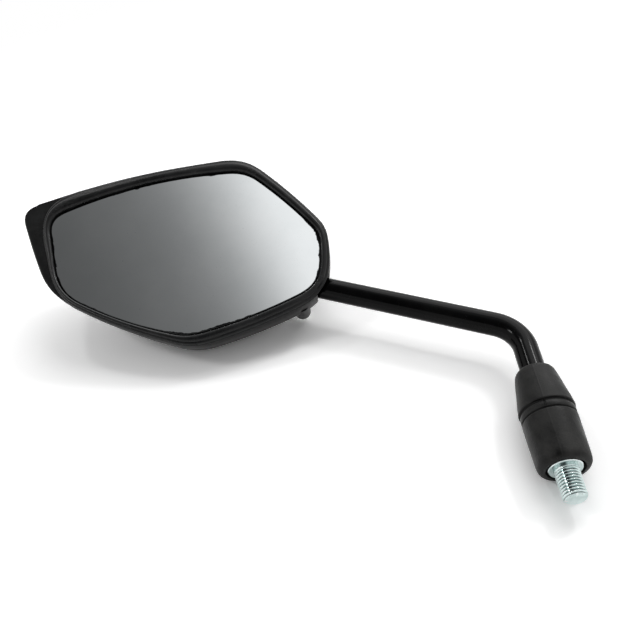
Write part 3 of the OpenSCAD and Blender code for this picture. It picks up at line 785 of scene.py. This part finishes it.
# Dust: a thin uneven film with a few specks
def makeDust():
    takes = [("Film", "value", 0.1), ("Specks", "value", 0.5)]
    group, start, end = effect("dust", takes, [("Mask", "value")])
    place = objectPlace(group)
    film = spread(group, noise(group, place, marksAndShade["film"], 5, 0.65), 0.45, 0.75)
    film = sum2(group, "MULTIPLY", film, start.outputs["Film"])
    specks = spread(group, noise(group, place, marksAndShade["specks"], 2), 0.71, 0.76)
    patches = spread(group, noise(group, place, marksAndShade["speckPatches"], 2), 0.45, 0.65)
    specks = sum2(group, "MULTIPLY", sum2(group, "MULTIPLY", specks, patches), start.outputs["Specks"])
    group.links.new(sum2(group, "MAXIMUM", film, specks), end.inputs["Mask"])
    return group


# Hairline scratches: thin contour lines of a stretched noise, in patches
def makeScratches():
    takes = [("Scale", "value", 120), ("Amount", "value", 0.5)]
    group, start, end = effect("scratches", takes, [("Mask", "value")])
    lines = []
    for stretch, turn in (((1, 6, 9), (0.3, 0.2, 0.5)), ((7, 1, 5), (0.1, 0.6, -0.4))):
        wave = noise(group, objectPlace(group, stretch, turn), start.outputs["Scale"], 1, 0.3)
        away = sum2(group, "ABSOLUTE", sum2(group, "SUBTRACT", wave, 0.5), 0)
        lines.append(spread(group, away, 0.004, 0.012, 1.0, 0.0))
    patches = spread(group, noise(group, objectPlace(group), marksAndShade["scratchPatches"], 3), 0.48, 0.68)
    mask = sum2(group, "MULTIPLY", sum2(group, "MAXIMUM", *lines), patches)
    group.links.new(sum2(group, "MULTIPLY", mask, start.outputs["Amount"]), end.inputs["Mask"])
    return group


effects = {"mottle": makeMottle(), "grain": makeGrain(), "rubbing": makeRubbing(), "dust": makeDust(),
           "scratches": makeScratches()}


def newMaterial(name):
    material = bpy.data.materials.new(name)
    material.use_nodes = True
    tree = material.node_tree
    return material, tree, tree.nodes["Principled BSDF"]


def use(tree, name, **values):
    node = add(tree, "ShaderNodeGroup", {"node_tree": effects[name]})
    for key, value in values.items():
        node.inputs[key].default_value = value
    return node.outputs


# One look per finish. Colours are linear, scales are per metre.
looks = {
    "shellPlastic": {
        "dark": (0.0035, 0.0036, 0.0037), "light": (0.0085, 0.0088, 0.0088), "rubbed": (0.03, 0.031, 0.032),
        "cloudScale": 38, "rough": (0.34, 0.46),
        "grainScale": 1300, "cells": 0.7, "bump": 0.22, "bumpDepth": 0.00012,
        "rubbing": 0.5, "film": 0.05, "specks": 0.25, "scratching": 0.25, "scratchScale": 60,
        "specular": 0.12},
    "bezelPlastic": {
        "dark": (0.0045, 0.0047, 0.005), "light": (0.009, 0.0093, 0.0095), "rubbed": (0.05, 0.051, 0.052),
        "cloudScale": 70, "rough": (0.24, 0.36),
        "grainScale": 2200, "cells": 0.2, "bump": 0.12, "bumpDepth": 0.0001,
        "rubbing": 0.7, "film": 0.05, "specks": 0.4, "scratching": 1.2, "scratchScale": 75,
        "specular": 0.2},
    "stemPaint": {
        "dark": (0.0012, 0.0012, 0.0013), "light": (0.0025, 0.0025, 0.0027), "rubbed": (0.02, 0.02, 0.02),
        "cloudScale": 50, "rough": (0.1, 0.17),
        "grainScale": 330, "cells": 0.1, "bump": 0.05, "bumpDepth": 0.0002,
        "rubbing": 0.2, "film": 0.02, "specks": 0.4, "scratching": 0.2, "scratchScale": 50,
        "specular": 0.06, "coat": 0.06, "coatRough": 0.04},
    "bootRubber": {
        "dark": (0.0022, 0.0022, 0.0021), "light": (0.017, 0.017, 0.0163), "rubbed": (0.05, 0.05, 0.049),
        "cloudScale": 110, "rough": (0.36, 0.58),
        "grainScale": 1700, "cells": 0.9, "bump": 0.35, "bumpDepth": 0.00014,
        "rubbing": 0.5, "film": 0.12, "specks": 0.5, "scratching": 0.35, "scratchScale": 45,
        "specular": 0.15},
    "brightZinc": {
        "dark": (0.42, 0.52, 0.51), "light": (0.65, 0.74, 0.73), "rubbed": (0.95, 0.98, 0.98),
        # root: the colour of the painted shade in the thread's roots
        "root": (0.12, 0.15, 0.148),
        "cloudScale": 150, "rough": (0.08, 0.18),
        "grainScale": 1100, "cells": 0.3, "bump": 0.12, "bumpDepth": 0.00008,
        "rubbing": 1.0, "film": 0.0, "specks": 0.15, "scratching": 0.5, "scratchScale": 130,
        "metallic": 1.0},
    "screwSteel": {
        "dark": (0.42, 0.43, 0.42), "light": (0.62, 0.63, 0.61), "rubbed": (0.8, 0.81, 0.8),
        "cloudScale": 220, "rough": (0.26, 0.44),
        "grainScale": 1500, "cells": 0.4, "bump": 0.18, "bumpDepth": 0.00008,
        "rubbing": 0.6, "film": 0.06, "specks": 0.3, "scratching": 0.5, "scratchScale": 200,
        "metallic": 1.0},
    "plainSteel": {
        "dark": (0.36, 0.37, 0.37), "light": (0.55, 0.56, 0.55), "rubbed": (0.75, 0.76, 0.75),
        "cloudScale": 160, "rough": (0.3, 0.5),
        "grainScale": 1000, "cells": 0.5, "bump": 0.2, "bumpDepth": 0.0001,
        "rubbing": 0.4, "film": 0.06, "specks": 0.3, "scratching": 0.5, "scratchScale": 160,
        "metallic": 1.0},
    "retainerPaint": {
        "dark": (0.006, 0.006, 0.006), "light": (0.011, 0.011, 0.0108), "rubbed": (0.16, 0.155, 0.15),
        "cloudScale": 120, "rough": (0.35, 0.5),
        "grainScale": 520, "cells": 0.3, "bump": 0.25, "bumpDepth": 0.00016,
        "rubbing": 0.6, "film": 0.12, "specks": 0.4, "scratching": 0.5, "scratchScale": 120,
        "specular": 0.45},
    "linerNylon": {
        "dark": (0.6, 0.57, 0.5), "light": (0.76, 0.74, 0.67), "rubbed": (0.85, 0.84, 0.8),
        "cloudScale": 140, "rough": (0.35, 0.5),
        "grainScale": 900, "cells": 0.2, "bump": 0.12, "bumpDepth": 0.0001,
        "rubbing": 0.3, "film": 0.0, "specks": 0.2, "scratching": 0.4, "scratchScale": 160,
        "specular": 0.5},
    "tapeFoam": {
        "dark": (0.05, 0.052, 0.054), "light": (0.1, 0.102, 0.105), "rubbed": (0.13, 0.13, 0.13),
        "cloudScale": 300, "rough": (0.8, 0.95),
        "grainScale": 2600, "cells": 1.6, "bump": 0.6, "bumpDepth": 0.0003,
        "rubbing": 0.3, "film": 0.1, "specks": 0.3, "scratching": 0.0, "scratchScale": 100,
        "specular": 0.2},
}


def finish(name):
    look = looks[name]
    material, tree, shader = newMaterial(name)
    for socket, key, usual in (("Metallic", "metallic", 0.0), ("Specular IOR Level", "specular", 0.5),
                               ("Coat Weight", "coat", 0.0), ("Coat Roughness", "coatRough", 0.03)):
        shader.inputs[socket].default_value = look.get(key, usual)
    cloud = use(tree, "mottle", Scale=look["cloudScale"], Dark=(*look["dark"], 1), Light=(*look["light"], 1))
    worn = use(tree, "rubbing", Amount=look["rubbing"])["Mask"]
    dusty = use(tree, "dust", Film=look["film"], Specks=look["specks"])["Mask"]
    lines = use(tree, "scratches", Scale=look["scratchScale"], Amount=look["scratching"])["Mask"]
    grain = use(tree, "grain", Scale=look["grainScale"], Cells=look["cells"])["Height"]
    marked = sum2(tree, "MAXIMUM", worn, sum2(tree, "MULTIPLY", lines, marksAndShade["lineShade"]))
    colour = blend(tree, marked, cloud["Colour"], look["rubbed"])
    # Painted shade: the thread's roots darken towards the root colour, the deeper in the groove the darker
    if "root" in look:
        deep = add(tree, "ShaderNodeAttribute", {"attribute_name": "inGroove"}).outputs["Fac"]
        shade = spread(tree, deep, *marksAndShade["rootDepth"], *marksAndShade["rootShade"])
        colour = blend(tree, shade, colour, look["root"])
    colour = blend(tree, dusty, colour, marksAndShade["dust"])
    tree.links.new(colour, shader.inputs["Base Color"])
    rough = spread(tree, cloud["Cloud"], 0.0, 1.0, *look["rough"])
    rough = sum2(tree, "ADD", rough, sum2(tree, "MULTIPLY", dusty, marksAndShade["dustRough"]))
    rough = sum2(tree, "ADD", rough, sum2(tree, "MULTIPLY", lines, marksAndShade["lineRough"]))
    tree.links.new(rough, shader.inputs["Roughness"])
    height = sum2(tree, "SUBTRACT", grain, lines)
    bump = add(tree, "ShaderNodeBump", Strength=look["bump"], Distance=look["bumpDepth"], Height=height)
    tree.links.new(bump.outputs[0], shader.inputs["Normal"])
    return material


# The mirror: bright silver, with smudges and a dark uneven line where the coating ends at the edge
silver = {"clear": (0.93, 0.945, 0.95), "smudged": (0.86, 0.88, 0.887), "smudgeScale": 26,
          "edge": (0.012, 0.012, 0.013), "edgeWidth": (0.25, 1.1), "edgeScale": 210, "edgePatches": 24,
          "edgeRough": 0.3, "rough": (0.012, 0.05), "smearScale": 60,
          "film": 0.02, "specks": 0.5, "dust": (0.6, 0.61, 0.62), "dustRough": 0.25}


def finishMirror():
    material, tree, shader = newMaterial("mirrorSilver")
    shader.inputs["Metallic"].default_value = 1.0
    cloud = use(tree, "mottle", Scale=silver["smudgeScale"], Dark=(*silver["clear"], 1),
                Light=(*silver["smudged"], 1))
    fromEdge = add(tree, "ShaderNodeAttribute", {"attribute_name": "fromEdge"}).outputs["Fac"]
    place = objectPlace(tree)
    ragged = spread(tree, noise(tree, place, silver["edgeScale"], 5, 0.6), 0.35, 0.75, *silver["edgeWidth"])
    patchy = spread(tree, noise(tree, place, silver["edgePatches"], 2), 0.46, 0.66)
    width = sum2(tree, "MULTIPLY", ragged, sum2(tree, "ADD", patchy, 0.12))
    inside = sum2(tree, "SUBTRACT", fromEdge, width)
    edge = spread(tree, inside, -0.08, 0.12, 1.0, 0.0)
    ground = spread(tree, fromEdge, 0.02, 0.28, 0.0, 1.0)
    edge = sum2(tree, "MULTIPLY", edge, ground)
    dusty = use(tree, "dust", Film=silver["film"], Specks=silver["specks"])["Mask"]
    colour = blend(tree, edge, cloud["Colour"], silver["edge"])
    colour = blend(tree, dusty, colour, silver["dust"])
    tree.links.new(colour, shader.inputs["Base Color"])
    wiped = noise(tree, objectPlace(tree, (1, 1, 3), (0, 0.5, 0)), silver["smearScale"], 4, 0.6)
    smear = spread(tree, wiped, 0.5, 0.75, *silver["rough"])
    rough = sum2(tree, "ADD", smear, sum2(tree, "MULTIPLY", dusty, silver["dustRough"]))
    rough = sum2(tree, "ADD", rough, sum2(tree, "MULTIPLY", edge, silver["edgeRough"]))
    tree.links.new(rough, shader.inputs["Roughness"])
    return material


finishes = {name: finish(name) for name in looks}
finishes["mirrorSilver"] = finishMirror()
print("finishes made")
dressed = {
    "rearShell": "shellPlastic", "frontBezel": "bezelPlastic", "mirrorGlass": "mirrorSilver",
    "mirrorStem": "stemPaint", "studAdapter": "brightZinc", "rubberBoot": "bootRubber",
    "ballRetainer": "retainerPaint", "clampScrew1": "screwSteel", "clampScrew2": "screwSteel",
    "clampScrew3": "screwSteel", "glass_tape": "tapeFoam", "liner_front": "linerNylon",
    "liner_rear": "linerNylon", "spring_washer_1": "screwSteel", "spring_washer_2": "screwSteel",
    "spring_washer_3": "screwSteel", "lock_nut": "plainSteel", "lock_washer": "plainSteel",
}
for name, look in dressed.items():
    mesh = bpy.data.objects[name].data
    mesh.materials.clear()
    mesh.materials.append(finishes[look])

# The camera, where the photograph puts it
camera = {"place": (-63.78, -268.08, -141.29), "lens": 41.94,
          "right": (0.9843, 0.1604, -0.0737), "up": (0.1612, -0.6472, 0.7451)}
lens = bpy.data.cameras.new("camera")
lens.lens, lens.sensor_width = camera["lens"], 36
lens.clip_start, lens.clip_end = 0.01, 10
eye = bpy.data.objects.new("camera", lens)
bpy.context.scene.collection.objects.link(eye)
across, upward = Vector(camera["right"]).normalized(), Vector(camera["up"]).normalized()
backward = across.cross(upward).normalized()
upward = backward.cross(across)
eye.matrix_world = (Matrix.Translation(Vector(camera["place"]) * mm)
                    @ Matrix((across, upward, backward)).transposed().to_4x4())
bpy.context.scene.camera = eye

# The table the mirror lies on: a plane that touches its back. It is seen from its own side only,
# fades out between two distances from its middle and casts no shadow.
table = {"normal": (0.05, -0.994, 0.102), "offset": -10.9, "size": 1.6, "colour": (0.84, 0.84, 0.84),
         "rough": 0.8, "seen": (1.36, 1.36, 1.36), "fade": (0.32, 0.6)}


# What the camera and the bright pieces see, against what only lights the object
def seenRays(tree):
    path = tree.nodes.new("ShaderNodeLightPath").outputs
    return sum2(tree, "MAXIMUM", path["Is Camera Ray"],
                sum2(tree, "MAXIMUM", path["Is Glossy Ray"], path["Is Transmission Ray"]))


def makeTable():
    normal = Vector(table["normal"]).normalized()
    bm = bmesh.new()
    bmesh.ops.create_grid(bm, x_segments=1, y_segments=1, size=table["size"])
    turn = normal.to_track_quat("Z", "Y").to_matrix().to_4x4()
    middle = ballPlace * 0.5
    middle = middle - normal * (middle.dot(normal) - table["offset"])
    bmesh.ops.transform(bm, matrix=Matrix.Translation(middle * mm) @ turn, verts=bm.verts)
    obj = loose("table", bm)
    obj.visible_shadow = False
    material, tree, shader = newMaterial("tableWhite")
    shader.inputs["Base Color"].default_value = (*table["colour"], 1)
    shader.inputs["Roughness"].default_value = table["rough"]
    seen = add(tree, "ShaderNodeBsdfDiffuse", Color=(*table["seen"], 1))
    clear = tree.nodes.new("ShaderNodeBsdfTransparent").outputs[0]
    behind = tree.nodes.new("ShaderNodeNewGeometry").outputs["Backfacing"]
    away = add(tree, "ShaderNodeVectorMath", {"operation": "DISTANCE"})
    tree.links.new(tree.nodes.new("ShaderNodeTexCoord").outputs["Object"], away.inputs[0])
    away.inputs[1].default_value = middle * mm
    hidden = sum2(tree, "MAXIMUM", behind, spread(tree, away.outputs["Value"], *table["fade"]))
    top = mixShaders(tree, seenRays(tree), shader.outputs[0], seen.outputs[0])
    tree.links.new(mixShaders(tree, hidden, top, clear), tree.nodes["Material Output"].inputs["Surface"])
    obj.data.materials.append(material)


makeTable()

# What the mirror shows: a grey card behind the camera that grows lighter to the upper right.
# Only reflections see it.
card = {"place": (-0.3, -1.2, 0.13), "size": 1.3, "way": (0.94, 0, 0.342), "reach": (-0.62, 0.2),
        "tones": [(0.0, 0.09), (0.2, 0.118), (0.38, 0.16), (0.5, 0.22), (0.6, 0.325), (0.69, 0.5),
                  (0.77, 0.71), (0.86, 0.9), (1.0, 0.97)],
        "tint": (0.985, 1.0, 1.006)}


def makeCard():
    bm = bmesh.new()
    bmesh.ops.create_grid(bm, x_segments=1, y_segments=1, size=card["size"],
                          matrix=Matrix.Translation(card["place"]) @ Matrix.Rotation(-math.pi / 2, 4, "X"))
    obj = loose("card", bm)
    obj.visible_camera = obj.visible_diffuse = obj.visible_shadow = obj.visible_transmission = False
    material, tree, shader = newMaterial("greyCard")
    tree.nodes.remove(shader)
    place = tree.nodes.new("ShaderNodeTexCoord").outputs["Object"]
    along = add(tree, "ShaderNodeVectorMath", {"operation": "DOT_PRODUCT"})
    tree.links.new(place, along.inputs[0])
    along.inputs[1].default_value = card["way"]
    share = add(tree, "ShaderNodeMapRange", Value=along.outputs["Value"])
    share.inputs[1].default_value, share.inputs[2].default_value = card["reach"]
    ramp = tree.nodes.new("ShaderNodeValToRGB")
    tree.links.new(share.outputs[0], ramp.inputs[0])
    ramp.color_ramp.interpolation = "B_SPLINE"
    for k, (at, tone) in enumerate(card["tones"]):
        stop = ramp.color_ramp.elements[k] if k < 2 else ramp.color_ramp.elements.new(at)
        stop.position = at
        stop.color = (*(tone * t for t in card["tint"]), 1)
    glow = add(tree, "ShaderNodeEmission", Color=ramp.outputs[0])
    tree.links.new(glow.outputs[0], tree.nodes["Material Output"].inputs["Surface"])
    obj.data.materials.append(material)


makeCard()

# Light
lights = {
    "key": {"place": (0.42, -0.82, 0.98), "size": 1.5, "power": 11},
    "side": {"place": (0.6, -0.8, 0.72), "size": 0.14, "power": 1.6},
    "front": {"place": (-0.5, -0.82, 0.7), "size": 0.12, "power": 0.9},
    "strip": {"place": (-0.95, -0.85, 0.2), "size": 0.22, "power": 2},
    "rear": {"place": (-0.3, 1.1, 0.7), "size": 0.9, "power": 9},
}
aim = Vector((-0.07, 0, 0.08))  # near the middle of the object
for name, light in lights.items():
    lamp = bpy.data.lights.new(name, "AREA")
    lamp.shape, lamp.size, lamp.energy = "DISK", light["size"], light["power"]
    obj = bpy.data.objects.new(name, lamp)
    obj.location = light["place"]
    obj.rotation_euler = (aim - Vector(light["place"])).to_track_quat("-Z", "Y").to_euler()
    bpy.context.scene.collection.objects.link(obj)

# Plain white all round for what is seen, dimmer as light on the object
world = bpy.data.worlds.new("studio")
bpy.context.scene.world = world
world.use_nodes = True
back = world.node_tree.nodes["Background"]
back.inputs["Color"].default_value = (1, 1, 1, 1)
plain = 0.38
seen = sum2(world.node_tree, "MULTIPLY", seenRays(world.node_tree), 1 - plain)
world.node_tree.links.new(sum2(world.node_tree, "ADD", seen, plain), back.inputs["Strength"])

bpy.context.scene.view_settings.view_transform = "Standard"
print("scene made")
